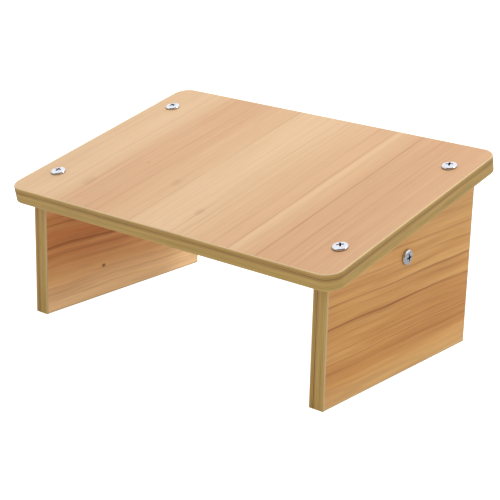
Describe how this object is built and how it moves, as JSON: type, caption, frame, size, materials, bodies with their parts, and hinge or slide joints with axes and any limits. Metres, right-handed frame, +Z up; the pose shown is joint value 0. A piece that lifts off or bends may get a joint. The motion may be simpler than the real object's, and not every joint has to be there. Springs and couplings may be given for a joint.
{
  "type": "slant board",
  "caption": "Free-standing calf-stretch board: a wood-print foot board with rounded corners, screwed at a fixed slope onto upright side panels tied by a cross rail.",
  "frame": {"origin": "on the floor, under the middle of the foot board's outline", "axes": "+X across the board to the right as seen from its low front edge, +Y from the low front edge to the high back edge, +Z up"},
  "size_m": [0.4, 0.2614, 0.1923],
  "materials": {
    "laminate": "satin",
    "core": "matte",
    "edge_band": "satin",
    "screw": "polished"
  },
  "bodies": {
    "root": {"top_lower_laminate": "laminate", "top_core": "core", "top_upper_laminate": "laminate", "top_edge_band": "edge_band", "left_panel_inner_laminate": "laminate", "left_panel_core": "core", "left_panel_outer_laminate": "laminate", "left_panel_front_band": "edge_band", "left_panel_back_band": "edge_band", "left_panel_bottom_band": "edge_band", "right_panel_inner_laminate": "laminate", "right_panel_core": "core", "right_panel_outer_laminate": "laminate", "right_panel_front_band": "edge_band", "right_panel_back_band": "edge_band", "right_panel_bottom_band": "edge_band", "rail_core": "core", "rail_front_laminate": "laminate", "rail_back_laminate": "laminate", "rail_bottom_band": "edge_band", "top_screw_front_left": "screw", "top_screw_front_right": "screw", "top_screw_back_left": "screw", "top_screw_back_right": "screw", "rail_screw_left": "screw", "rail_screw_right": "screw"}
  },
  "joints": []
}
